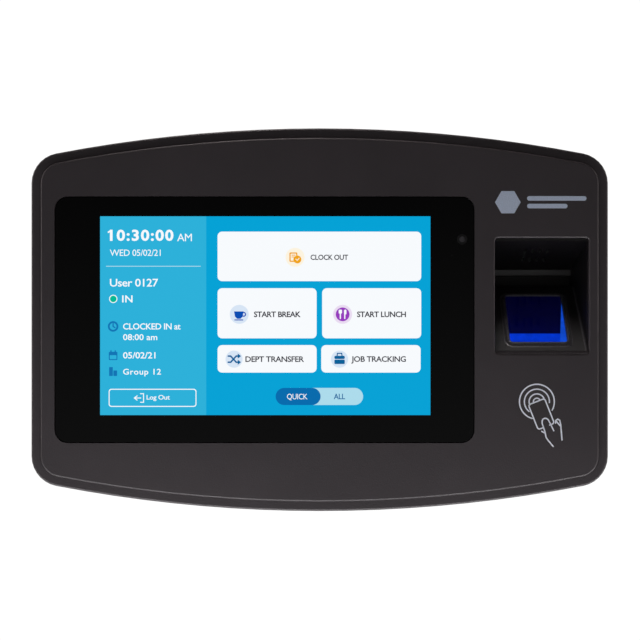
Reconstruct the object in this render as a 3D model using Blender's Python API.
"""Wall-mounted fingerprint terminal with a touch screen, built piece by piece.

Metres. The wall is the plane y = 0, the front faces -Y, +X is right and +Z is up.
The origin is the centre of the wall plate's rear face.
"""
import math

import bmesh
import bpy
from mathutils import Matrix, Vector

for old in list(bpy.data.objects):
    bpy.data.objects.remove(old, do_unlink=True)

# Body
BODY_WIDTH = 0.1891
BODY_HEIGHT = 0.1256
BODY_DEPTH = 0.040
EDGE_ARC = 0.458  # radius of the long top and bottom edges
CORNER_RADIUS = 0.010
SHELL_WALL = 0.002
FRONT_WALL = 0.0025
RIM_WIDTH = 0.0032  # from the outline in to the raised face
RIM_DROP = 0.0012  # how far the rim lies behind the raised face
RIM_ROUND = 0.0008
STEP_ROUND = 0.0006
ROUND_STEPS = 4  # facets in each of these quarter rounds
SPLIT_FROM_WALL = 0.0222  # where the two shells meet
TONGUE = 0.0022
TONGUE_INSET = 0.0010
GAP = 0.0003  # between pieces that touch
OVER = 0.001  # how far a cutter runs past what it cuts

# Cover glass and display
GLASS_WIDTH = 0.1368
GLASS_HEIGHT = 0.0801
GLASS_MARGIN = 0.0081  # from the body's left edge
GLASS_CORNER = 0.004
GLASS_RECESS = 0.0002
GLASS_THICKNESS = 0.0016
GASKET_WIDTH = 0.0012
GASKET_THICKNESS = 0.0006
LEDGE_THICKNESS = 0.0018
LEDGE_BORDER = 0.003
PANEL_WIDTH = 0.1207
PANEL_HEIGHT = 0.0758
PANEL_OFFSET = (0.0003, 0.0005)  # panel centre from the glass centre, X and Z
CELL_THICKNESS = 0.0013
BACKLIGHT_THICKNESS = 0.0023
CAMERA_FROM_GLASS = (0.00375, 0.01375)  # lens from the glass's right and top edges
CAMERA_BODY = 0.0074
BARREL_RADIUS = 0.0022
LENS_RADIUS = 0.00175

# Finger well, measured from the front face as depth and from the centre line as height
WELL_WIDTH = 0.0308
WELL_MARGIN = 0.00645  # from the body's right edge
WELL_TOP = 0.0268
WELL_BOTTOM = -0.0113
WELL_CORNER = 0.0012
MOUTH_ROUND = 0.0005
WELL_WALL = 0.0015
WELL_DRAFT = math.tan(math.radians(3.0))
ROOF_SLOPE = math.tan(math.radians(18.0))
LEDGE_DEPTH = 0.029  # where the roof ends in a nose
LEDGE_FACE = 0.0024
WELL_DEPTH = 0.031
FLOOR_TILT = math.radians(45.0)
FLOOR_END = 0.0245
FLANGE_MARGIN = 0.0025
SLOT_ROWS = (0.0117, 0.0195)
SLOT_PITCH = 0.00245
SLOT_SIZE = (0.0010, 0.0030)

# Fingerprint reader, in its own tilted axes: X across, Y up the slope, Z out of the window
WINDOW_MARGIN = 0.0123  # the well's width less the window's
WINDOW_WIDTH = WELL_WIDTH - WINDOW_MARGIN
WINDOW_LENGTH = 0.0214
WINDOW_SIDE = -0.0003  # window centre from the well centre
WINDOW_DEPTH = 0.01285
WINDOW_PROUD = 0.0003  # window above the floor plane
FRAME_RIM = 0.0010
FRAME_PROUD = 0.0004
FRAME_CLEARANCE = 0.0002
FRAME_BODY = 0.0033
HOUSING_DEPTH = 0.016
HOUSING_WALL = 0.0012

# Boards
BRACKET_THICKNESS = 0.0008
STANDOFF = 0.0031
BOARD_THICKNESS = 0.0016
BOARD_WIDTH = 0.110
BOARD_HEIGHT = 0.050
BOARD_BOTTOM = -0.017

# Wall plate and hooks
PLATE_THICKNESS = 0.0015
PLATE_INSET = 0.02155  # the plate's sides from the body's
PLATE_WIDTH = BODY_WIDTH - 2 * PLATE_INSET
PLATE_HEIGHT = 0.084
PLATE_CENTRE_Z = -0.002
HOOK_INSET = 0.011  # the hooks' middles from the plate's sides
HOOK_X = PLATE_WIDTH / 2 - HOOK_INSET
HOOK_WIDTH = 0.012
HOOK_HEIGHTS = (0.024, -0.036)
HOOK_GAUGE = 0.0012
HOOK_RISE = 0.006
LIFT = 0.0065
RIM_BACK = 0.0005  # the rear rim's distance from the wall

# Cable bay: sides from the board's centre, then bottom and top
BAY_SIDES = (-0.030, 0.050)
BAY_BOTTOM = -0.047
BAY_TOP = -0.020
BAY_WALL = 0.002
NOTCH_SIDES = (-0.022, 0.008)
PORT_CLEARANCE = 0.0004

# Fasteners: shank radius, head radius, head height
COVER_SCREW = (0.00125, 0.0024, 0.0020)
BOARD_SCREW = (0.0012, 0.0022, 0.0014)
WELL_SCREW = (0.0009, 0.0018, 0.0012)
LOCK_SCREW = (0.0015, 0.0028, 0.0018)
SCREW_CLEARANCE = 0.00025

# Depths that follow from the sizes above, front to back
FRONT_Y = -BODY_DEPTH
WALL_BACK_Y = FRONT_Y + FRONT_WALL
SPLIT_Y = -SPLIT_FROM_WALL
GLASS_FRONT_Y = FRONT_Y + GLASS_RECESS
GLASS_BACK_Y = GLASS_FRONT_Y + GLASS_THICKNESS
LEDGE_FRONT_Y = GLASS_BACK_Y + GASKET_THICKNESS + 2 * GAP
LEDGE_BACK_Y = LEDGE_FRONT_Y + LEDGE_THICKNESS
CELL_BACK_Y = GLASS_BACK_Y + GAP + CELL_THICKNESS
BACKLIGHT_BACK_Y = CELL_BACK_Y + GAP + BACKLIGHT_THICKNESS
BRACKET_FRONT_Y = max(BACKLIGHT_BACK_Y, LEDGE_BACK_Y) + GAP
BRACKET_BACK_Y = BRACKET_FRONT_Y + BRACKET_THICKNESS
BOARD_FRONT_Y = BRACKET_BACK_Y + STANDOFF + GAP
BOARD_BACK_Y = BOARD_FRONT_Y + BOARD_THICKNESS
PARTS_Y = BOARD_BACK_Y + GAP
COVER_BACK_Y = -(PLATE_THICKNESS + GAP)
COVER_INNER_Y = COVER_BACK_Y - SHELL_WALL
BAY_FRONT_Y = PARTS_Y + 0.0016
BAY_WALL_Y = BAY_FRONT_Y - 0.0015

# Places across the front
GLASS_X = -BODY_WIDTH / 2 + GLASS_MARGIN + GLASS_WIDTH / 2
GLASS_RIGHT = GLASS_X + GLASS_WIDTH / 2
PANEL_X = GLASS_X + PANEL_OFFSET[0]
PANEL_Z = PANEL_OFFSET[1]
CAMERA_X = GLASS_RIGHT - CAMERA_FROM_GLASS[0]
CAMERA_Z = GLASS_HEIGHT / 2 - CAMERA_FROM_GLASS[1]
WELL_X = BODY_WIDTH / 2 - WELL_MARGIN - WELL_WIDTH / 2
WINDOW_X = WELL_X + WINDOW_SIDE
SLOPE_Z = WELL_BOTTOM + 0.0008 - FRONT_WALL  # height of the floor plane at the front face
WINDOW_Z = SLOPE_Z + WINDOW_DEPTH + WINDOW_PROUD / math.cos(FLOOR_TILT)
PADS = (
    (GLASS_X - GLASS_WIDTH / 2 + 0.0022, 0.030),
    (GLASS_X - GLASS_WIDTH / 2 + 0.0022, -0.030),
    (GLASS_RIGHT - 0.0016, 0.012),
    (GLASS_RIGHT - 0.0016, -0.030),
)
BOARD_X = PANEL_X - 0.0023
BOARD_SCREWS = tuple(
    (BOARD_X + side * (BOARD_WIDTH / 2 - 0.004), BOARD_BOTTOM + height)
    for side in (-1, 1)
    for height in (0.004, BOARD_HEIGHT - 0.004)
)
COVER_SCREWS = tuple((x, z) for z in (1, -1) for x in (-1, 0, 1))
BAY = (BOARD_X + BAY_SIDES[0], BOARD_X + BAY_SIDES[1], BAY_BOTTOM, BAY_TOP)
NOTCH = tuple(BOARD_X + side for side in NOTCH_SIDES)
TAMPER = (BOARD_X - 0.040, -0.002)
LOCK_X = 0.046
LOCK_Y = -0.0065
BAY_BOARD_Z = BAY[3] - GAP  # where the ports' mouths are

FINISHES = {
    "shell": ((0.028, 0.026, 0.027), 0.45, 0.0),
    "glass": ((0.004, 0.004, 0.005), 0.05, 0.0),
    "prism": ((0.0, 0.01, 0.12), 0.05, 0.0),
    "steel": ((0.55, 0.56, 0.58), 0.35, 1.0),
    "screw": ((0.35, 0.35, 0.37), 0.35, 1.0),
    "board": ((0.01, 0.09, 0.03), 0.5, 0.0),
    "plastic": ((0.03, 0.03, 0.03), 0.5, 0.0),
    "foam": ((0.02, 0.02, 0.02), 0.9, 0.0),
    "panel": ((0.02, 0.25, 0.5), 0.3, 0.0),
    "film": ((0.55, 0.32, 0.08), 0.5, 0.0),
    "battery": ((0.1, 0.25, 0.45), 0.45, 0.0),
    "white": ((0.75, 0.75, 0.73), 0.5, 0.0),
}


# ---- tools ----------------------------------------------------------------

def finish_material(name, kind):
    colour, roughness, metallic = FINISHES[kind]
    material = bpy.data.materials.new(name + "_finish")
    material.use_nodes = True
    shader = material.node_tree.nodes["Principled BSDF"]
    shader.inputs["Base Color"].default_value = (*colour, 1.0)
    shader.inputs["Roughness"].default_value = roughness
    shader.inputs["Metallic"].default_value = metallic
    return material


def empty(name, location, parent=None, tilt=0.0):
    holder = bpy.data.objects.new(name, None)
    holder.location = location
    holder.rotation_euler = (tilt, 0.0, 0.0)
    holder.parent = parent
    bpy.context.collection.objects.link(holder)
    return holder


def put(name, bm, kind, parent, origin=(0.0, 0.0, 0.0)):
    """A named piece whose points are given in its parent's axes, with its own origin."""
    bmesh.ops.translate(bm, verts=bm.verts, vec=-Vector(origin))
    bmesh.ops.recalc_face_normals(bm, faces=bm.faces)
    mesh = bpy.data.meshes.new(name)
    bm.to_mesh(mesh)
    bm.free()
    piece = bpy.data.objects.new(name, mesh)
    piece.parent = parent
    piece.location = origin
    bpy.context.collection.objects.link(piece)
    if kind is None:
        piece.hide_render = True
        piece.display_type = "WIRE"
    else:
        mesh.materials.append(finish_material(name, kind))
    return piece


def tool(name, bm, parent):
    return put(name, bm, None, parent)


def boolean(piece, operation, cutter):
    step = piece.modifiers.new(cutter.name, "BOOLEAN")
    step.operation = operation
    step.solver = "EXACT"
    step.object = cutter


def cut(piece, cutter):
    boolean(piece, "DIFFERENCE", cutter)


def join(piece, cutter):
    boolean(piece, "UNION", cutter)


def add_rings(bm, rings, inner=None):
    """A skin through closed rings of equal counts: a solid, or a cup when inner rings are given."""
    loops = [[bm.verts.new(point) for point in ring] for ring in rings]
    if inner:
        loops += [[bm.verts.new(point) for point in ring] for ring in reversed(inner)]
    count = len(rings[0])
    for first, second in zip(loops, loops[1:] + (loops[:1] if inner else [])):
        if inner and first is loops[len(rings) - 1]:
            bm.faces.new(first)
            bm.faces.new(second)
            continue
        for i in range(count):
            j = (i + 1) % count
            bm.faces.new((first[i], first[j], second[j], second[i]))
    if not inner:
        bm.faces.new(loops[0])
        bm.faces.new(loops[-1])


def add_box(bm, low, high):
    corners = [(low[0], low[2]), (high[0], low[2]), (high[0], high[2]), (low[0], high[2])]
    add_rings(bm, [[(x, y, z) for x, z in corners] for y in (low[1], high[1])])


def add_plate(bm, outline, y_front, y_back):
    """An outline in X and Z, as thick as the stretch between two depths."""
    add_rings(bm, [[(x, y, z) for x, z in outline] for y in (y_front, y_back)])


def add_round(bm, centre, axis, stations, sides=16):
    """A turned solid: stations are (distance along the axis, radius)."""
    axis = Vector(axis)
    across = Vector((0.0, 0.0, 1.0)) if abs(axis.z) < 0.5 else Vector((1.0, 0.0, 0.0))
    other = axis.cross(across)
    rings = []
    for along, radius in stations:
        angles = [2 * math.pi * i / sides for i in range(sides)]
        middle = Vector(centre) + axis * along
        rings.append(
            [middle + (across * math.cos(a) + other * math.sin(a)) * radius for a in angles]
        )
    add_rings(bm, rings)


def box(name, low, high, kind, parent, bevel=0.0):
    bm = bmesh.new()
    low, high = Vector(low), Vector(high)
    add_box(bm, low, high)
    piece = put(name, bm, kind, parent, (low + high) / 2)
    if bevel:
        edge = piece.modifiers.new("edges", "BEVEL")
        edge.width = bevel
        edge.segments = 1
    return piece


def box_tool(name, low, high, parent):
    bm = bmesh.new()
    add_box(bm, low, high)
    return tool(name, bm, parent)


def rounded(centre_x, centre_z, width, height, radius, steps=5):
    """A rectangle with round corners, as points in X and Z."""
    points = []
    for turn, (sx, sz) in enumerate(((1, 1), (-1, 1), (-1, -1), (1, -1))):
        for i in range(steps + 1):
            angle = math.pi / 2 * (turn + i / steps)
            x = centre_x + sx * (width / 2 - radius) + radius * math.cos(angle)
            z = centre_z + sz * (height / 2 - radius) + radius * math.sin(angle)
            points.append((x, z))
    return points


def edge_height(x, inset):
    """Half height of the body at x, this far inside its outline."""
    return math.sqrt((EDGE_ARC - inset) ** 2 - x * x) - (EDGE_ARC - BODY_HEIGHT / 2)


def body_ring(y, inset, corner_steps=7, arc_steps=18):
    """The body's outline at one depth: straight sides, round corners and two long arcs."""
    drop = EDGE_ARC - BODY_HEIGHT / 2
    corner_x = BODY_WIDTH / 2 - CORNER_RADIUS
    reach = EDGE_ARC - CORNER_RADIUS
    corner_z = math.sqrt(reach * reach - corner_x * corner_x) - drop
    meet = math.atan2(corner_z + drop, corner_x)
    radius = CORNER_RADIUS - inset
    quarter = []
    for i in range(corner_steps):
        angle = meet * i / corner_steps
        quarter.append((corner_x + radius * math.cos(angle), corner_z + radius * math.sin(angle)))
    for i in range(arc_steps // 2):
        angle = meet + (math.pi / 2 - meet) * i / (arc_steps // 2)
        long_radius = EDGE_ARC - inset
        quarter.append((long_radius * math.cos(angle), long_radius * math.sin(angle) - drop))
    top = (0.0, BODY_HEIGHT / 2 - inset)
    half = quarter + [top] + [(-x, z) for x, z in reversed(quarter)]
    ring = half + [(x, -z) for x, z in reversed(half)]
    return [(x, y, z) for x, z in ring]


def screw_mesh(name, sizes, length):
    """A cross-recessed screw along +Y: head from 0, shank forward to -length. Built once."""
    shank, head, height = sizes
    bm = bmesh.new()
    add_round(
        bm, (0, 0, 0), (0, -1, 0),
        [(-height, head * 0.75), (-height * 0.6, head), (0, head)], 12,
    )
    piece = put(name + "_pattern", bm, None, None)
    bm = bmesh.new()
    add_round(bm, (0, 0, 0), (0, -1, 0), [(-height / 2, shank), (length, shank)], 12)
    join(piece, tool(name + "_shank", bm, None))
    arm, slot = head * 0.6, head * 0.16
    for label, x, z in (("a", arm, slot), ("b", slot, arm)):
        cut(piece, box_tool(name + label, (-x, height * 0.5, -z), (x, height + OVER, z), None))
    graph = bpy.context.evaluated_depsgraph_get()
    mesh = bpy.data.meshes.new_from_object(piece.evaluated_get(graph))
    mesh.materials.clear()
    mesh.materials.append(finish_material(name, "screw"))
    return mesh


def screws(name, mesh, places, parent, turn=(0.0, 0.0, 0.0)):
    for number, place in enumerate(places, 1):
        label = name if len(places) == 1 else f"{name}_{number}"
        piece = bpy.data.objects.new(label, mesh)
        piece.location = place
        piece.rotation_euler = turn
        piece.parent = parent
        bpy.context.collection.objects.link(piece)


def round_tool(name, places, axis, stations, parent, sides=12):
    bm = bmesh.new()
    for place in places:
        add_round(bm, place, axis, stations, sides)
    return tool(name, bm, parent)


# ---- casings --------------------------------------------------------------

def cover_screw_places():
    inward = 0.015
    side_x = BODY_WIDTH / 2 - inward
    side_z = edge_height(side_x, 0.0) - 0.0085
    middle_z = BODY_HEIGHT / 2 - 0.00825
    return [(x * side_x, z * (side_z if x else middle_z)) for x, z in COVER_SCREWS]


SEAT_Y = SPLIT_Y + 0.0082  # the screw heads' seats, deep in the rear posts
POST_Y = SPLIT_Y + 0.0022
BOSS_Y = POST_Y - GAP


def quarter_round(front, inset, radius):
    """Stations (depth, inset) of a rounded front edge, from its side to its front."""
    stations = []
    for i in range(ROUND_STEPS + 1):
        angle = math.pi / 2 * i / ROUND_STEPS
        stations.append((front + radius * (1 - math.sin(angle)),
                         inset + radius * (1 - math.cos(angle))))
    return stations


def front_shell(parent):
    front, band = FRONT_Y, FRONT_Y + RIM_DROP
    outer = [(SPLIT_Y, 0.0)]
    outer += quarter_round(band, 0.0, RIM_ROUND)
    outer.append((band, RIM_WIDTH))
    outer += quarter_round(front, RIM_WIDTH + 0.0001, STEP_ROUND)
    inner = [(SPLIT_Y, TONGUE_INSET), (SPLIT_Y - TONGUE, TONGUE_INSET), (SPLIT_Y - TONGUE, SHELL_WALL)]
    inner += [(WALL_BACK_Y + 0.0015, SHELL_WALL), (WALL_BACK_Y, SHELL_WALL + 0.0015)]
    bm = bmesh.new()
    add_rings(bm, [body_ring(*place) for place in outer], [body_ring(*place) for place in inner])
    shell = put("front_shell", bm, "shell", parent)

    border_w = GLASS_WIDTH / 2 + LEDGE_BORDER
    border_h = GLASS_HEIGHT / 2 + LEDGE_BORDER
    join(shell, box_tool("ledge_block", (GLASS_X - border_w, WALL_BACK_Y - 0.0007, -border_h),
                         (GLASS_X + border_w, LEDGE_BACK_Y, border_h), parent))
    places = [(x, 0.0, z) for x, z in cover_screw_places()]
    radius = COVER_SCREW[0] + 0.00195
    join(shell, round_tool("cover_bosses", places, (0, 1, 0),
                           [(WALL_BACK_Y - 0.0006, radius), (BOSS_Y, radius)], parent))
    cut(shell, round_tool("cover_boss_bores", places, (0, 1, 0),
                          [(SEAT_Y - 0.0150, COVER_SCREW[0] + SCREW_CLEARANCE),
                           (BOSS_Y + OVER, COVER_SCREW[0] + SCREW_CLEARANCE)], parent))
    if BRACKET_FRONT_Y - GAP > LEDGE_BACK_Y + 0.0001:
        pads = [(x, 0.0, z) for x, z in PADS]
        join(shell, round_tool("bracket_pads", pads, (0, 1, 0),
                               [(LEDGE_BACK_Y - 0.0004, 0.0026), (BRACKET_FRONT_Y - GAP, 0.0026)],
                               parent))
        cut(shell, round_tool("bracket_pad_bores", pads, (0, 1, 0),
                              [(BRACKET_FRONT_Y - 0.0030, WELL_SCREW[0] + SCREW_CLEARANCE),
                               (BRACKET_FRONT_Y + OVER, WELL_SCREW[0] + SCREW_CLEARANCE)], parent))
    well_bosses = [(x, 0.0, z) for x, z in well_screw_places()]
    join(shell, round_tool("well_bosses", well_bosses, (0, 1, 0),
                           [(WALL_BACK_Y - 0.0006, 0.0024), (EAR_FRONT_Y - GAP, 0.0024)], parent))
    cut(shell, round_tool("well_boss_bores", well_bosses, (0, 1, 0),
                          [(WALL_BACK_Y + 0.0002, WELL_SCREW[0] + SCREW_CLEARANCE),
                           (EAR_FRONT_Y + OVER, WELL_SCREW[0] + SCREW_CLEARANCE)], parent))
    bm = bmesh.new()
    pocket = rounded(GLASS_X, 0.0, GLASS_WIDTH + 2 * GAP, GLASS_HEIGHT + 2 * GAP, GLASS_CORNER + GAP)
    add_plate(bm, pocket, FRONT_Y - OVER, LEDGE_FRONT_Y)
    cut(shell, tool("glass_pocket", bm, parent))
    half_w, half_h = PANEL_WIDTH / 2 + 0.0004, PANEL_HEIGHT / 2 + 0.0004
    cut(shell, box_tool("display_opening", (PANEL_X - half_w, FRONT_Y, PANEL_Z - half_h),
                        (PANEL_X + half_w, LEDGE_BACK_Y + OVER, PANEL_Z + half_h), parent))
    cut(shell, round_tool("camera_hole", [(CAMERA_X, 0.0, CAMERA_Z)], (0, 1, 0),
                          [(FRONT_Y, BARREL_RADIUS + 0.0004),
                           (LEDGE_BACK_Y + OVER, BARREL_RADIUS + 0.0004)], parent, 16))
    middle, height = (WELL_TOP + WELL_BOTTOM) / 2, WELL_TOP - WELL_BOTTOM
    rings = []
    for depth, out in [(-OVER, MOUTH_ROUND)] + mouth_round():
        rings.append([(x, FRONT_Y + depth, z) for x, z in rounded(
            WELL_X, middle, WELL_WIDTH + 2 * out, height + 2 * out, WELL_CORNER + out)])
    rings.append([(x, WALL_BACK_Y + OVER, z) for x, z in rounded(
        WELL_X, middle, WELL_WIDTH, height, WELL_CORNER)])
    bm = bmesh.new()
    add_rings(bm, rings)
    cut(shell, tool("well_opening", bm, parent))
    return shell


def mouth_round():
    """Stations (depth, how far out) of the rounded edge round the finger well's mouth."""
    stations = []
    for i in range(ROUND_STEPS + 1):
        angle = math.pi / 2 * i / ROUND_STEPS
        stations.append((MOUTH_ROUND * (1 - math.cos(angle)), MOUTH_ROUND * (1 - math.sin(angle))))
    return stations


def rear_cover(parent):
    wall = SHELL_WALL + 0.0004
    outer = [(SPLIT_Y - TONGUE + GAP, TONGUE_INSET + GAP), (SPLIT_Y + GAP, TONGUE_INSET + GAP)]
    outer += [(SPLIT_Y + GAP, 0.0), (-RIM_BACK - 0.0060, 0.0010), (-RIM_BACK - 0.0012, 0.0026)]
    outer += [(-RIM_BACK, 0.0042)]
    bm = bmesh.new()
    add_rings(bm, [body_ring(*place) for place in outer])
    cover = put("rear_cover", bm, "shell", parent)

    hollow = [(SPLIT_Y - TONGUE - OVER, wall), (SPLIT_Y + 0.006, wall)]
    hollow += [(COVER_INNER_Y - 0.0025, wall + 0.0012), (COVER_INNER_Y, wall + 0.0030)]
    bm = bmesh.new()
    add_rings(bm, [body_ring(*place) for place in hollow])
    cavity = tool("rear_cavity", bm, parent)
    left, right, bottom, top = BAY
    low = (left - BAY_WALL, SPLIT_Y - TONGUE - 2 * OVER, bottom - BAY_WALL)
    high = (right + BAY_WALL, COVER_INNER_Y + OVER, top + BAY_WALL)
    cut(cavity, box_tool("bay_fill", low, high, parent))
    cut(cavity, box_tool("notch_fill", (NOTCH[0] - BAY_WALL, -0.014, -BODY_HEIGHT),
                         (NOTCH[1] + BAY_WALL, COVER_INNER_Y + OVER, bottom - OVER), parent))
    cut(cavity, box_tool("lock_fill", (LOCK_X - 0.012, LOCK_Y - 0.008, -BODY_HEIGHT),
                         (LOCK_X + 0.012, COVER_INNER_Y + OVER, LOCK_SEAT_Z + 0.009), parent))
    cut(cover, cavity)
    join(cover, box_tool("bay_front", (low[0], BAY_WALL_Y, low[2]),
                         (high[0], SPLIT_Y - TONGUE + OVER, high[2]), parent))
    places = [(x, 0.0, z) for x, z in cover_screw_places()]
    post = COVER_SCREW[1] + 0.0014
    join(cover, round_tool("cover_posts", places, (0, 1, 0),
                           [(POST_Y, post), (-RIM_BACK - 0.0013, post)], parent))
    cut(cover, round_tool("cover_counterbores", places, (0, 1, 0),
                          [(SEAT_Y, COVER_SCREW[1] + GAP), (OVER, COVER_SCREW[1] + GAP)], parent))
    cut(cover, round_tool("cover_post_bores", places, (0, 1, 0),
                          [(POST_Y - OVER, COVER_SCREW[0] + SCREW_CLEARANCE),
                           (SEAT_Y + 0.0001, COVER_SCREW[0] + SCREW_CLEARANCE)], parent))
    half = PLATE_WIDTH / 2 + 0.0025
    plate_low = PLATE_CENTRE_Z - PLATE_HEIGHT / 2
    cut(cover, box_tool("plate_pocket", (-half, COVER_BACK_Y, plate_low - LIFT - 0.001),
                        (half, OVER, plate_low + PLATE_HEIGHT + 0.001), parent))
    cut(cover, box_tool("bay_hollow", (left, BAY_FRONT_Y, bottom), (right, OVER, top), parent))
    cut(cover, box_tool("cable_notch", (NOTCH[0], -0.012, -BODY_HEIGHT),
                        (NOTCH[1], OVER, bottom + OVER), parent))
    cut(cover, box_tool("tab_recess", (LOCK_X - 0.010, COVER_BACK_Y, -BODY_HEIGHT),
                        (LOCK_X + 0.010, OVER, bottom), parent))
    cut(cover, box_tool("lock_recess", (LOCK_X - 0.010, LOCK_Y - 0.0060, -BODY_HEIGHT),
                        (LOCK_X + 0.010, OVER, LOCK_SEAT_Z), parent))
    cut(cover, round_tool("lock_bore", [(LOCK_X, LOCK_Y, 0.0)], (0, 0, 1),
                          [(-BODY_HEIGHT, LOCK_SCREW[0] + GAP),
                           (LOCK_SEAT_Z + 0.0072, LOCK_SCREW[0] + GAP)], parent))
    bm = bmesh.new()
    for side in (-1, 1):
        for height in HOOK_HEIGHTS:
            top_edge = height + HOOK_GAUGE + GAP
            half_hook = HOOK_WIDTH / 2 + 0.0005
            add_box(bm, (side * HOOK_X - half_hook, COVER_INNER_Y - OVER, top_edge - HOOK_RISE - 0.0023),
                    (side * HOOK_X + half_hook, OVER, top_edge))
    cut(cover, tool("hook_slots", bm, parent))
    cut(cover, round_tool("tamper_hole", [(TAMPER[0], 0.0, TAMPER[1])], (0, 1, 0),
                          [(COVER_INNER_Y - OVER, 0.0023), (OVER, 0.0023)], parent, 24))
    cut(cover, round_tool("reset_hole", [(RESET_X, RESET_Y, 0.0)], (0, 0, 1),
                          [(top - OVER, 0.0019), (top + BAY_WALL + OVER, 0.0019)], parent))
    bm = bmesh.new()
    for port_left, port_right, port_back, _ in PORTS:
        add_box(bm, (port_left - PORT_CLEARANCE, BAY_WALL_Y - OVER, top - 0.0009),
                (port_right + PORT_CLEARANCE, port_back + PORT_CLEARANCE, top + BAY_WALL + OVER))
    cut(cover, tool("port_cutouts", bm, parent))
    return cover


# ---- finger well and reader -----------------------------------------------

EAR_FRONT_Y = WALL_BACK_Y + 0.0033
EAR_BACK_Y = EAR_FRONT_Y + 0.0015


def well_screw_places():
    left = WELL_X - WELL_WIDTH / 2 + 0.0001
    right = WELL_X + WELL_WIDTH / 2 - 0.0001
    return [(left, WELL_TOP + 0.0062), (left, WELL_BOTTOM - 0.0072), (right, WELL_BOTTOM - 0.0072)]


def well_profile(grow):
    """Side view of the well's hollow as (depth, height), grown outwards by a wall."""
    lean = grow / math.cos(FLOOR_TILT)
    roof = grow / math.cos(math.atan(ROOF_SLOPE))
    front = FRONT_WALL + GAP - (OVER if grow == 0.0 else 0.0)
    back = WELL_DEPTH + grow
    nose_top = WELL_TOP - ROOF_SLOPE * LEDGE_DEPTH
    under = nose_top - LEDGE_FACE
    points = [(front, SLOPE_Z + front - lean)]
    shelf = SLOPE_Z + FLOOR_END
    points.append((FLOOR_END + lean - grow, shelf - grow))
    points.append((back, shelf - grow))
    if grow:
        points.append((back, WELL_TOP - ROOF_SLOPE * back + roof))
    else:
        points += [(back, under), (LEDGE_DEPTH + 0.0004, under), (LEDGE_DEPTH, under + 0.0004)]
        points += [(LEDGE_DEPTH, nose_top - 0.0005), (LEDGE_DEPTH - 0.0005, nose_top)]
    points.append((front, WELL_TOP - ROOF_SLOPE * front + roof))
    return points


def add_well(bm, grow):
    rings = []
    for side in (-1, 1):
        ring = []
        for depth, height in well_profile(grow):
            half = WELL_WIDTH / 2 - WELL_DRAFT * depth + grow
            ring.append((WELL_X + side * half, FRONT_Y + depth, height))
        rings.append(ring)
    add_rings(bm, rings)


def finger_well(parent, reader):
    bm = bmesh.new()
    add_well(bm, WELL_WALL)
    well = put("finger_well", bm, "shell", parent)
    flange_y = (WALL_BACK_Y + GAP, WALL_BACK_Y + GAP + 0.0015)
    half = WELL_WIDTH / 2 + FLANGE_MARGIN
    flange_low, flange_high = WELL_BOTTOM - 0.0027, WELL_TOP + 0.0030
    join(well, box_tool("well_flange", (WELL_X - half, flange_y[0], flange_low),
                        (WELL_X + half, flange_y[1], flange_high), parent))
    for number, (x, z) in enumerate(well_screw_places(), 1):
        up = 1 if z > 0 else -1
        edge = flange_high if up > 0 else flange_low
        strut = sorted((edge, edge - up * 0.0019))
        ear = sorted((z + up * 0.0029, edge - up * 0.0019))
        wide = 0.0026
        join(well, box_tool(f"well_strut_{number}", (x - wide + 0.0002, flange_y[0] + 0.0005, strut[0]),
                            (x + wide - 0.0002, EAR_BACK_Y - 0.0003, strut[1]), parent))
        join(well, box_tool(f"well_ear_{number}", (x - wide, EAR_FRONT_Y, ear[0]),
                            (x + wide, EAR_BACK_Y, ear[1] + 0.0001 * up), parent))
    boss_z = -FRAME_BODY + GAP
    join(well, round_tool("reader_bosses", [(side * READER_SCREW_X, 0, 0) for side in (-1, 1)],
                          (0, 0, 1), [(boss_z, 0.0019), (-WINDOW_PROUD - 0.0007, 0.0019)], reader))
    bm = bmesh.new()
    add_well(bm, 0.0)
    cut(well, tool("well_hollow", bm, parent))
    ears = [(x, 0.0, z) for x, z in well_screw_places()]
    cut(well, round_tool("ear_holes", ears, (0, 1, 0),
                         [(EAR_FRONT_Y - 0.0008, WELL_SCREW[0] + SCREW_CLEARANCE),
                          (EAR_BACK_Y + OVER, WELL_SCREW[0] + SCREW_CLEARANCE)], parent))
    half_w = WINDOW_WIDTH / 2 + FRAME_CLEARANCE + FRAME_RIM + GAP
    half_l = WINDOW_LENGTH / 2 + FRAME_CLEARANCE + FRAME_RIM + GAP
    cut(well, box_tool("reader_opening", (-half_w, -half_l, -FRAME_BODY),
                       (half_w, half_l, FRAME_PROUD + OVER), reader))
    cut(well, round_tool("reader_boss_bores", [(side * READER_SCREW_X, 0, 0) for side in (-1, 1)],
                         (0, 0, 1), [(-FRAME_BODY - OVER, WELL_SCREW[0] + SCREW_CLEARANCE),
                                     (-WINDOW_PROUD - 0.0007, WELL_SCREW[0] + SCREW_CLEARANCE)],
                         reader))
    bm = bmesh.new()
    for depth in SLOT_ROWS:
        for i in range(4):
            x = WINDOW_X + (i - 1.5) * SLOT_PITCH
            roof = WELL_TOP - ROOF_SLOPE * depth
            add_box(bm, (x - SLOT_SIZE[0] / 2, FRONT_Y + depth - SLOT_SIZE[1] / 2, roof - 0.002),
                    (x + SLOT_SIZE[0] / 2, FRONT_Y + depth + SLOT_SIZE[1] / 2, roof + 0.004))
    cut(well, tool("roof_slots", bm, parent))


READER_SCREW_X = WINDOW_WIDTH / 2 + FRAME_CLEARANCE + FRAME_RIM + 0.0040


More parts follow.
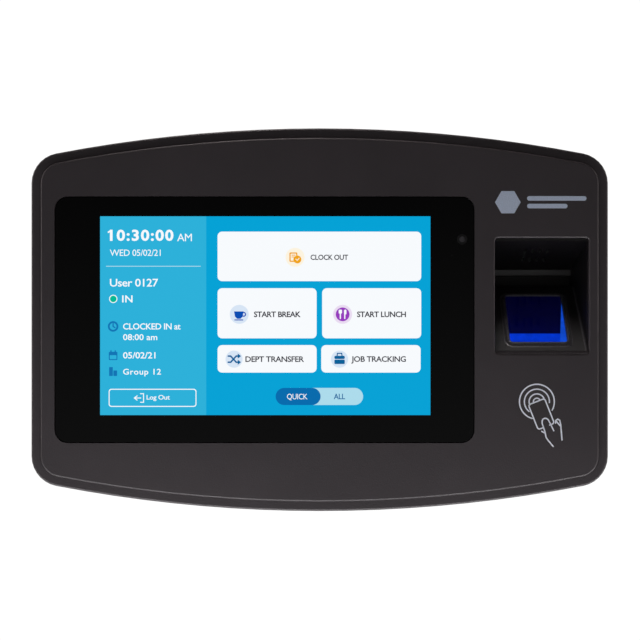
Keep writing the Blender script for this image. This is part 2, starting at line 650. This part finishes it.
def reader_parts(reader):
    inner_w, inner_l = WINDOW_WIDTH / 2 + FRAME_CLEARANCE, WINDOW_LENGTH / 2 + FRAME_CLEARANCE
    outer_w, outer_l = inner_w + FRAME_RIM, inner_l + FRAME_RIM
    frame = box("prism_frame", (-outer_w, -outer_l, -FRAME_BODY), (outer_w, outer_l, FRAME_PROUD),
                "shell", reader)
    lip = 0.0011
    join(frame, box_tool("frame_lip", (-outer_w - lip, -outer_l - lip, -FRAME_BODY + 0.0001),
                         (outer_w + lip, outer_l + lip, -FRAME_BODY + 0.0012), reader))
    cut(frame, box_tool("frame_window", (-inner_w, -inner_l, -FRAME_BODY - OVER),
                        (inner_w, inner_l, FRAME_PROUD + OVER), reader))

    half = WINDOW_LENGTH / 2
    shoulder, foot = FRAME_BODY + 0.0005, 0.012
    narrow = half - (foot - shoulder)
    side_view = [(-half, 0.0), (half, 0.0), (half, -shoulder), (narrow, -foot)]
    side_view += [(-narrow, -foot), (-half, -shoulder)]
    bm = bmesh.new()
    add_rings(bm, [[(side * WINDOW_WIDTH / 2, along, out) for along, out in side_view]
                   for side in (-1, 1)])
    put("fingerprint_prism", bm, "prism", reader)

    top = -FRAME_BODY - GAP
    wall_w, wall_l = outer_w + 0.0018, outer_l + 0.0012
    housing = box("sensor_housing", (-wall_w, -wall_l, -HOUSING_DEPTH), (wall_w, wall_l, top),
                  "plastic", reader)
    ear = READER_SCREW_X + 0.0021
    join(housing, box_tool("housing_ears", (-ear, -0.003, top - 0.0018), (ear, 0.003, top - 0.0001),
                           reader))
    cut(housing, box_tool("housing_hollow", (-wall_w + HOUSING_WALL, -wall_l + HOUSING_WALL,
                                             -HOUSING_DEPTH - OVER),
                          (wall_w - HOUSING_WALL, wall_l - HOUSING_WALL, top + OVER), reader))
    sides = [(side * READER_SCREW_X, 0, 0) for side in (-1, 1)]
    hole = WELL_SCREW[0] + SCREW_CLEARANCE
    cut(housing, round_tool("housing_holes", sides, (0, 0, 1),
                            [(top - 0.0018 - OVER, hole), (top + OVER, hole)], reader))

    board_top = -HOUSING_DEPTH - GAP
    box("sensor_board", (-wall_w, -wall_l, board_top - 0.0012), (wall_w, wall_l, board_top),
        "board", reader)
    bm = bmesh.new()
    add_round(bm, (0, 0, board_top + GAP), (0, 0, 1),
              [(0, 0.0042), (0.0012, 0.0042), (0.0014, 0.0028), (0.0030, 0.0028)])
    put("sensor_camera", bm, "plastic", reader, (0, 0, board_top + GAP))
    lamp_back = wall_l - HOUSING_WALL - GAP
    box("sensor_led_bar", (-0.007, -lamp_back, -0.0100), (0.007, -lamp_back + 0.0016, -0.0064),
        "white", reader)


# ---- screen and camera ----------------------------------------------------

def screen_parts(parent):
    bm = bmesh.new()
    add_plate(bm, rounded(GLASS_X, 0.0, GLASS_WIDTH, GLASS_HEIGHT, GLASS_CORNER),
              GLASS_FRONT_Y, GLASS_BACK_Y)
    put("touch_glass", bm, "glass", parent, (GLASS_X, GLASS_FRONT_Y, 0.0))
    front = GLASS_BACK_Y + GAP
    gasket_y = (front, front + GASKET_THICKNESS)
    bm = bmesh.new()
    add_plate(bm, rounded(GLASS_X, 0.0, GLASS_WIDTH, GLASS_HEIGHT, GLASS_CORNER), *gasket_y)
    gasket = put("glass_gasket", bm, "foam", parent, (GLASS_X, gasket_y[0], 0.0))
    bm = bmesh.new()
    add_plate(bm, rounded(GLASS_X, 0.0, GLASS_WIDTH - 2 * GASKET_WIDTH, GLASS_HEIGHT - 2 * GASKET_WIDTH,
                          GLASS_CORNER - GASKET_WIDTH), gasket_y[0] - OVER, gasket_y[1] + OVER)
    cut(gasket, tool("gasket_inside", bm, parent))
    half_w, half_h = PANEL_WIDTH / 2, PANEL_HEIGHT / 2
    for name, kind, y_front, y_back in (
        ("lcd_cell", "panel", GLASS_BACK_Y + GAP, CELL_BACK_Y),
        ("lcd_backlight", "steel", CELL_BACK_Y + GAP, BACKLIGHT_BACK_Y),
    ):
        box(name, (PANEL_X - half_w, y_front, PANEL_Z - half_h),
            (PANEL_X + half_w, y_back, PANEL_Z + half_h), kind, parent)

    left = PADS[0][0] - 0.0035
    right = PADS[2][0] + 0.0032
    narrow = CAMERA_X - CAMERA_BODY / 2 - 0.0009
    tab_top, tab_low = PADS[2][1] + 0.004, PADS[3][1] - 0.004
    outline = [(left, -0.036), (narrow, -0.036), (narrow, tab_low), (right, tab_low)]
    outline += [(right, tab_top), (narrow, tab_top), (narrow, 0.036), (left, 0.036)]
    bm = bmesh.new()
    add_plate(bm, outline, BRACKET_FRONT_Y, BRACKET_BACK_Y)
    bracket = put("lcd_bracket", bm, "steel", parent)
    posts = [(x, 0.0, z) for x, z in BOARD_SCREWS]
    join(bracket, round_tool("standoffs", posts, (0, 1, 0),
                             [(BRACKET_BACK_Y - 0.0004, 0.0026), (BOARD_FRONT_Y - GAP, 0.0026)], parent))
    cut(bracket, round_tool("standoff_bores", posts, (0, 1, 0),
                            [(BRACKET_FRONT_Y - OVER, BOARD_SCREW[0] + SCREW_CLEARANCE),
                             (BOARD_FRONT_Y + OVER, BOARD_SCREW[0] + SCREW_CLEARANCE)], parent))
    pads = [(x, 0.0, z) for x, z in PADS]
    cut(bracket, round_tool("pad_holes", pads, (0, 1, 0),
                            [(BRACKET_FRONT_Y - OVER, WELL_SCREW[0] + SCREW_CLEARANCE),
                             (BRACKET_BACK_Y + OVER, WELL_SCREW[0] + SCREW_CLEARANCE)], parent))
    window_x = BOARD_WIDTH / 2 - 0.010
    cut(bracket, box_tool("bracket_window", (BOARD_X - window_x, BRACKET_FRONT_Y - OVER, -0.020),
                          (BOARD_X + window_x, BRACKET_BACK_Y + OVER, 0.020), parent))

    half = CAMERA_BODY / 2
    back = LEDGE_BACK_Y + GAP
    module = box("camera_module", (CAMERA_X - half, back, CAMERA_Z - half),
                 (CAMERA_X + half, back + 0.0035, CAMERA_Z + half), "plastic", parent)
    barrel = GLASS_BACK_Y + 0.0013
    join(module, round_tool("camera_barrel", [(CAMERA_X, 0.0, CAMERA_Z)], (0, 1, 0),
                            [(barrel, BARREL_RADIUS), (back + 0.0005, BARREL_RADIUS)], parent, 16))
    bm = bmesh.new()
    add_round(bm, (CAMERA_X, 0.0, CAMERA_Z), (0, 1, 0),
              [(GLASS_BACK_Y + GAP, LENS_RADIUS * 0.4), (GLASS_BACK_Y + 0.0005, LENS_RADIUS),
               (barrel - GAP, LENS_RADIUS)])
    put("camera_lens", bm, "glass", parent, (CAMERA_X, GLASS_BACK_Y, CAMERA_Z))


# ---- boards ---------------------------------------------------------------

# Ports on the board's lower edge: left, right, rear face, top
PORTS = (
    (BOARD_X - 0.022, BOARD_X - 0.006, PARTS_Y + 0.0134, 0.0010),
    (BOARD_X + 0.003, BOARD_X + 0.0174, PARTS_Y + 0.0070, -0.0060),
    (BOARD_X + 0.028, BOARD_X + 0.037, PARTS_Y + 0.0110, -0.0060),
)
RESET_X = BOARD_X + 0.0445
RESET_Y = PARTS_Y + 0.0042


def board_parts(parent):
    board = box("main_board", (BOARD_X - BOARD_WIDTH / 2, BOARD_FRONT_Y, BOARD_BOTTOM),
                (BOARD_X + BOARD_WIDTH / 2, BOARD_BACK_Y, BOARD_BOTTOM + BOARD_HEIGHT), "board", parent)
    holes = [(x, 0.0, z) for x, z in BOARD_SCREWS]
    cut(board, round_tool("board_holes", holes, (0, 1, 0),
                          [(BOARD_FRONT_Y - OVER, BOARD_SCREW[0] + SCREW_CLEARANCE),
                           (BOARD_BACK_Y + OVER, BOARD_SCREW[0] + SCREW_CLEARANCE)], parent))
    y = PARTS_Y
    left, right = BOARD_X - 0.030, BOARD_X - 0.002
    sheet = 0.0004
    shield = box("processor_shield", (left, y, 0.004), (right, y + 0.0026, 0.027), "steel", parent)
    cut(shield, box_tool("shield_hollow", (left + sheet, y - OVER, 0.004 + sheet),
                         (right - sheet, y + 0.0026 - sheet, 0.027 - sheet), parent))
    box("processor", (left + 0.007, y, 0.0085), (right - 0.007, y + 0.0012, 0.0225), "plastic", parent)
    cell = (BOARD_X + 0.026, 0.018)
    holder = box("coin_cell_holder", (cell[0] - 0.012, y, cell[1] - 0.0112),
                 (cell[0] + 0.012, y + 0.0032, cell[1] + 0.0112), "plastic", parent)
    centre = [(cell[0], 0.0, cell[1])]
    cut(holder, round_tool("cell_pocket", centre, (0, 1, 0),
                           [(y + 0.0010, 0.0103), (y + 0.005, 0.0103)], parent, 24))
    bm = bmesh.new()
    add_round(bm, (cell[0], y + 0.0013, cell[1]), (0, 1, 0), [(0, 0.0085), (0.0006, 0.010), (0.0032, 0.010)], 24)
    put("coin_cell", bm, "steel", parent, (cell[0], y, cell[1]))
    bm = bmesh.new()
    add_round(bm, (BOARD_X - 0.042, y, 0.017), (0, 1, 0), [(0, 0.006), (0.0045, 0.006), (0.005, 0.0055)], 24)
    put("buzzer", bm, "plastic", parent, (BOARD_X - 0.042, y, 0.017))

    mouth = BAY_BOARD_Z
    left, right, back, top = PORTS[0]
    jack = box("ethernet_jack", (left, y, mouth), (right, back, top), "steel", parent)
    middle = (left + right) / 2
    cut(jack, box_tool("plug_hollow", (middle - 0.0059, y + 0.0031, mouth - OVER),
                       (middle + 0.0059, y + 0.0100, mouth + 0.0125), parent))
    cut(jack, box_tool("latch_hollow", (middle - 0.0030, y + 0.0095, mouth - OVER),
                       (middle + 0.0030, y + 0.0120, mouth + 0.0100), parent))
    left, right, back, top = PORTS[1]
    port = box("usb_port", (left, y, mouth), (right, back, top), "steel", parent)
    cut(port, box_tool("usb_hollow", (left + 0.0008, y + 0.0009, mouth - OVER),
                       (right - 0.0008, y + 0.0061, mouth + 0.0120), parent))
    join(port, box_tool("usb_tongue", (left + 0.0018, y + 0.0026, mouth + 0.0010),
                        (right - 0.0018, y + 0.0044, mouth + 0.0130), parent))
    left, right, back, top = PORTS[2]
    power = box("power_jack", (left, y, mouth), (right, back, top), "plastic", parent)
    middle = [((left + right) / 2, y + 0.0060, 0.0)]
    cut(power, round_tool("power_hollow", middle, (0, 0, 1),
                          [(mouth - OVER, 0.0031), (mouth + 0.0105, 0.0031)], parent, 16))
    join(power, round_tool("power_pin", middle, (0, 0, 1),
                           [(mouth + 0.0010, 0.0010), (mouth + 0.0115, 0.0010)], parent, 12))
    box("reset_switch", (RESET_X - 0.003, y, -0.0120), (RESET_X + 0.003, y + 0.0065, -0.0080),
        "plastic", parent)
    box("tamper_switch", (TAMPER[0] - 0.003, y, TAMPER[1] - 0.003),
        (TAMPER[0] + 0.003, y + 0.0048, TAMPER[1] + 0.003), "plastic", parent)
    edge = BOARD_X + BOARD_WIDTH / 2
    box("sensor_connector", (edge - 0.007, y, -0.002), (edge - 0.0005, y + 0.0040, 0.008), "white", parent)
    box("backup_battery", (BOARD_X - 0.030, COVER_INNER_Y - GAP - 0.0060, 0.003),
        (BOARD_X + 0.022, COVER_INNER_Y - GAP, 0.038), "battery", parent)
    side = -BODY_WIDTH / 2 + 0.0056
    box("wifi_antenna", (side, SPLIT_Y + 0.0030, -0.016), (side + 0.0008, SPLIT_Y + 0.0130, 0.016),
        "film", parent)
    low = -edge_height(BODY_WIDTH / 2 - 0.015, 0.0) + 0.0128
    box("rfid_antenna", (WELL_X - 0.0145, WALL_BACK_Y + GAP, low),
        (WELL_X + 0.0155, WALL_BACK_Y + GAP + 0.0010, WELL_BOTTOM - 0.0112), "board", parent)


def ribbon(parent):
    """Flat display cable: down from the panel, back, and up in front of the board."""
    start_y = BACKLIGHT_BACK_Y + 0.00045
    turn_y = BOARD_FRONT_Y - 0.0011
    low = PANEL_Z - PANEL_HEIGHT / 2 - 0.0030
    route = [(start_y, low + 0.0038), (start_y, low + 0.0010), (start_y + 0.0004, low)]
    route += [(turn_y - 0.0004, low), (turn_y, low + 0.0010), (turn_y, BOARD_BOTTOM + 0.0100)]
    half = 0.00012
    sides = ([], [])
    for i, point in enumerate(route):
        before, after = route[max(i - 1, 0)], route[min(i + 1, len(route) - 1)]
        way = Vector((after[0] - before[0], after[1] - before[1])).normalized()
        for side, row in zip((-1, 1), sides):
            row.append((point[0] - side * way.y * half, point[1] + side * way.x * half))
    outline = sides[0] + sides[1][::-1]
    bm = bmesh.new()
    add_rings(bm, [[(BOARD_X + x, y, z) for y, z in outline] for x in (-0.012, 0.012)])
    put("display_ribbon", bm, "film", parent)


def cable(parent, start, end):
    """Round cable from the board's connector to the reader's board, on one smooth curve."""
    start, end = Vector(start), Vector(end)
    lead = Vector((0.010, 0.0, 0.0))
    controls = (start, start + lead, end - lead, end)
    curve = bpy.data.curves.new("sensor_cable", "CURVE")
    curve.dimensions = "3D"
    curve.bevel_depth = 0.0009
    curve.bevel_resolution = 2
    curve.use_fill_caps = True
    spline = curve.splines.new("POLY")
    steps = 14
    spline.points.add(steps)
    for i in range(steps + 1):
        t = i / steps
        weights = ((1 - t) ** 3, 3 * t * (1 - t) ** 2, 3 * t * t * (1 - t), t ** 3)
        point = sum((c * w for c, w in zip(controls, weights)), Vector())
        spline.points[i].co = (*point, 1.0)
    piece = bpy.data.objects.new("sensor_cable", curve)
    piece.parent = parent
    curve.materials.append(finish_material("sensor_cable", "plastic"))
    bpy.context.collection.objects.link(piece)


def speaker_parts(parent):
    """Speaker and its gasket on the well's sloped roof, over the slots."""
    depth = 0.0155
    roof = WELL_TOP - ROOF_SLOPE * depth + WELL_WALL / math.cos(math.atan(ROOF_SLOPE))
    tilted = empty("speaker_axis", (WINDOW_X, FRONT_Y + depth, roof), parent, -math.atan(ROOF_SLOPE))
    half_w, half_l = 0.012, 0.0092
    gasket = box("speaker_gasket", (-half_w, -half_l, GAP), (half_w, half_l, GAP + 0.0010), "foam", tilted)
    cut(gasket, box_tool("speaker_gasket_inside", (-half_w + 0.0015, -half_l + 0.0015, GAP - OVER),
                         (half_w - 0.0015, half_l - 0.0015, GAP + 0.0010 + OVER), tilted))
    base = 2 * GAP + 0.0010
    box("speaker", (-half_w, -half_l, base), (half_w, half_l, base + 0.0045), "plastic", tilted, 0.0008)


# ---- what moves -----------------------------------------------------------

def tamper_parts(parent):
    tip = -(PLATE_THICKNESS + GAP)
    switch = PARTS_Y + 0.0048
    collar = COVER_INNER_Y - GAP
    end = switch + 0.0016
    origin = (TAMPER[0], tip, TAMPER[1])
    bm = bmesh.new()
    centre = (TAMPER[0], 0.0, TAMPER[1])
    add_round(bm, centre, (0, 1, 0),
              [(end, 0.0018), (collar - 0.0012, 0.0018), (collar - 0.0012, 0.0036), (collar, 0.0036),
               (collar, 0.0020), (tip - 0.0004, 0.0020), (tip, 0.0016)], 16)
    put("tamper_plunger", bm, "white", parent, origin)

    turns, wire, coil, steps = 7, 0.00025, 0.0027, 10
    first, last = switch + GAP + wire, collar - 0.0012 - GAP - wire
    bm = bmesh.new()
    rings = []
    for i in range(turns * steps + 1):
        share = i / (turns * steps)
        angle = 2 * math.pi * turns * share
        out = Vector((math.cos(angle), 0.0, math.sin(angle)))
        middle = Vector((TAMPER[0], first + (last - first) * share, TAMPER[1])) + out * coil
        ring = []
        for j in range(5):
            turn = 2 * math.pi * j / 5
            ring.append(middle + out * wire * math.cos(turn) + Vector((0, 1, 0)) * wire * math.sin(turn))
        rings.append(ring)
    add_rings(bm, rings)
    put("tamper_spring", bm, "steel", parent, (TAMPER[0], first, TAMPER[1]))


def reset_button(parent):
    wall_top = BAY[3] + BAY_WALL
    bm = bmesh.new()
    add_round(bm, (RESET_X, RESET_Y, 0.0), (0, 0, 1),
              [(BAY[3] - 0.0006, 0.0013), (BAY[3] - 0.0003, 0.0016), (wall_top + GAP, 0.0016),
               (wall_top + GAP, 0.0025), (wall_top + 0.0013, 0.0025), (wall_top + 0.0013, 0.0015),
               (-0.0130, 0.0015)], 16)
    put("reset_button", bm, "white", parent, (RESET_X, RESET_Y, BAY[3]))


# ---- wall side ------------------------------------------------------------

LOCK_SEAT_Z = -edge_height(LOCK_X, 0.0) + 0.0044  # the cover's face above the locking tab


def wall_plate(parent):
    half = PLATE_WIDTH / 2
    low, high = PLATE_CENTRE_Z - PLATE_HEIGHT / 2, PLATE_CENTRE_Z + PLATE_HEIGHT / 2
    tab_top = LOCK_SEAT_Z - GAP
    tab_low = tab_top - HOOK_GAUGE
    outline = rounded(0.0, PLATE_CENTRE_Z, PLATE_WIDTH, PLATE_HEIGHT, 0.005)
    bm = bmesh.new()
    add_plate(bm, outline, -PLATE_THICKNESS, 0.0)
    plate = put("wall_plate", bm, "steel", parent)
    join(plate, box_tool("plate_tab", (LOCK_X - 0.008, -PLATE_THICKNESS, tab_low),
                         (LOCK_X + 0.008, 0.0, low + 0.004), parent))
    join(plate, box_tool("plate_foot", (LOCK_X - 0.008, LOCK_Y - 0.0045, tab_low),
                         (LOCK_X + 0.008, -PLATE_THICKNESS * 0.5, tab_top), parent))
    tongue_back = COVER_INNER_Y - GAP
    bm = bmesh.new()
    tongues = bmesh.new()
    for side in (-1, 1):
        for height in HOOK_HEIGHTS:
            left, right = side * HOOK_X - HOOK_WIDTH / 2, side * HOOK_X + HOOK_WIDTH / 2
            add_box(bm, (left, tongue_back - HOOK_GAUGE, height),
                    (right, -PLATE_THICKNESS * 0.5, height + HOOK_GAUGE))
            add_box(tongues, (left, tongue_back - HOOK_GAUGE, height + HOOK_GAUGE * 0.5),
                    (right, tongue_back, height + HOOK_GAUGE + HOOK_RISE))
    join(plate, tool("hook_roots", bm, parent))
    join(plate, tool("hook_tongues", tongues, parent))
    window = (BAY[0] + 0.012, BAY[1] - 0.012)
    cut(plate, box_tool("plate_window", (window[0], -PLATE_THICKNESS - OVER, -0.038),
                        (window[1], OVER, -0.022), parent))
    bm = bmesh.new()
    for x, z in ((-0.035, 0.030), (0.035, 0.030), (-0.055, -0.016), (0.046, -0.016)):
        add_plate(bm, rounded(x, z, 0.0095, 0.0046, 0.0022, 4), -PLATE_THICKNESS - OVER, OVER)
    cut(plate, tool("plate_slots", bm, parent))
    cut(plate, round_tool("lock_tab_hole", [(LOCK_X, LOCK_Y, 0.0)], (0, 0, 1),
                          [(tab_low - OVER, LOCK_SCREW[0] + GAP),
                           (tab_top + OVER, LOCK_SCREW[0] + GAP)], parent))
    return tab_low


def fasteners(wall_side, terminal, reader, tab_low):
    mesh = screw_mesh("cover_screw", COVER_SCREW, 0.0140)
    screws("cover_screw", mesh, [(x, SEAT_Y + GAP, z) for x, z in cover_screw_places()], terminal)
    mesh = screw_mesh("board_screw", BOARD_SCREW, BOARD_THICKNESS + STANDOFF)
    screws("board_screw", mesh, [(x, BOARD_BACK_Y + GAP, z) for x, z in BOARD_SCREWS], terminal)
    mesh = screw_mesh("bracket_screw", WELL_SCREW, 0.0034)
    screws("bracket_screw", mesh, [(x, BRACKET_BACK_Y + GAP, z) for x, z in PADS], terminal)
    mesh = screw_mesh("well_screw", WELL_SCREW, EAR_BACK_Y - WALL_BACK_Y - 0.0004)
    screws("well_screw", mesh, [(x, EAR_BACK_Y + GAP, z) for x, z in well_screw_places()], terminal)
    seat = -FRAME_BODY - 2 * GAP - 0.0018
    mesh = screw_mesh("sensor_screw", WELL_SCREW, 0.0034)
    places = [(side * READER_SCREW_X, 0.0, seat) for side in (-1, 1)]
    screws("sensor_screw", mesh, places, reader, (-math.pi / 2, 0.0, 0.0))
    mesh = screw_mesh("lock_screw", LOCK_SCREW, 0.0085)
    screws("lock_screw", mesh, [(LOCK_X, LOCK_Y, tab_low - GAP)], wall_side, (-math.pi / 2, 0.0, 0.0))


def build():
    wall_side = empty("wall_side", (0.0, 0.0, 0.0))
    terminal = empty("terminal", (0.0, 0.0, 0.0))
    reader = empty("reader_axis", (WINDOW_X, FRONT_Y + WINDOW_DEPTH, WINDOW_Z), terminal, FLOOR_TILT)
    front_shell(terminal)
    rear_cover(terminal)
    finger_well(terminal, reader)
    reader_parts(reader)
    screen_parts(terminal)
    board_parts(terminal)
    ribbon(terminal)
    speaker_parts(terminal)
    tamper_parts(terminal)
    reset_button(terminal)
    board_edge = BOARD_X + BOARD_WIDTH / 2
    reader_left = WINDOW_X - WINDOW_WIDTH / 2 - FRAME_CLEARANCE - FRAME_RIM - 0.0018
    tilt = Matrix.Rotation(FLOOR_TILT, 3, "X")
    middle = Vector((0.0, FRONT_Y + WINDOW_DEPTH, WINDOW_Z))
    entry = middle + tilt @ Vector((0.0, -0.004, -HOUSING_DEPTH + 0.0020))
    cable(terminal, (board_edge - 0.0002, PARTS_Y + 0.0020, 0.003),
          (reader_left - GAP, entry.y, entry.z))
    tab_low = wall_plate(wall_side)
    fasteners(wall_side, terminal, reader, tab_low)
    for piece in bpy.data.objects:
        if piece.type == "MESH" and not piece.hide_render:
            piece.data.shade_smooth()
            piece.data.set_sharp_from_angle(angle=math.radians(35.0))


build()
